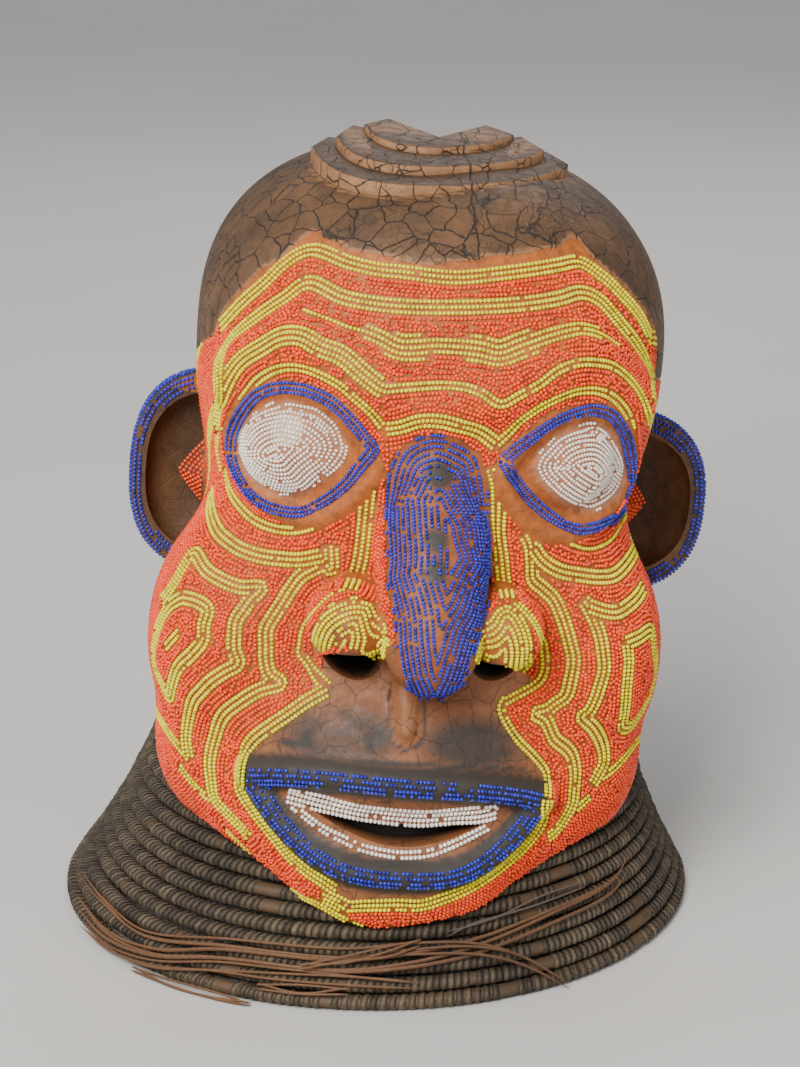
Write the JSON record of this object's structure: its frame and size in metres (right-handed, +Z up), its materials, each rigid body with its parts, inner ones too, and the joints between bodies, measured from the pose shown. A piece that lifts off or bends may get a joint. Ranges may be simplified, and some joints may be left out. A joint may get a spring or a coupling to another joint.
{
  "type": "beaded helmet mask on a basketry collar",
  "caption": "Carved wooden head mask with stepped crest and beaded face, hollow for the wearer, standing on a flared collar of coiled cane.",
  "frame": {"origin": "on the surface it stands on, under the middle of the whole object", "axes": "+Z up; the face looks along -Y; +X is on the viewer's right"},
  "size_m": [0.3272, 0.3334, 0.3895],
  "materials": {
    "wood": "matte",
    "cane": "matte",
    "splint": "matte"
  },
  "bodies": {
    "root": {"carved_head": "wood", "basket_collar": "cane", "splint_long": "splint", "splint_broad": "splint", "splint_under": "splint", "splint_crossing": "splint", "splint_grey": "splint", "splint_low": "splint", "splint_edge": "splint"}
  },
  "joints": []
}
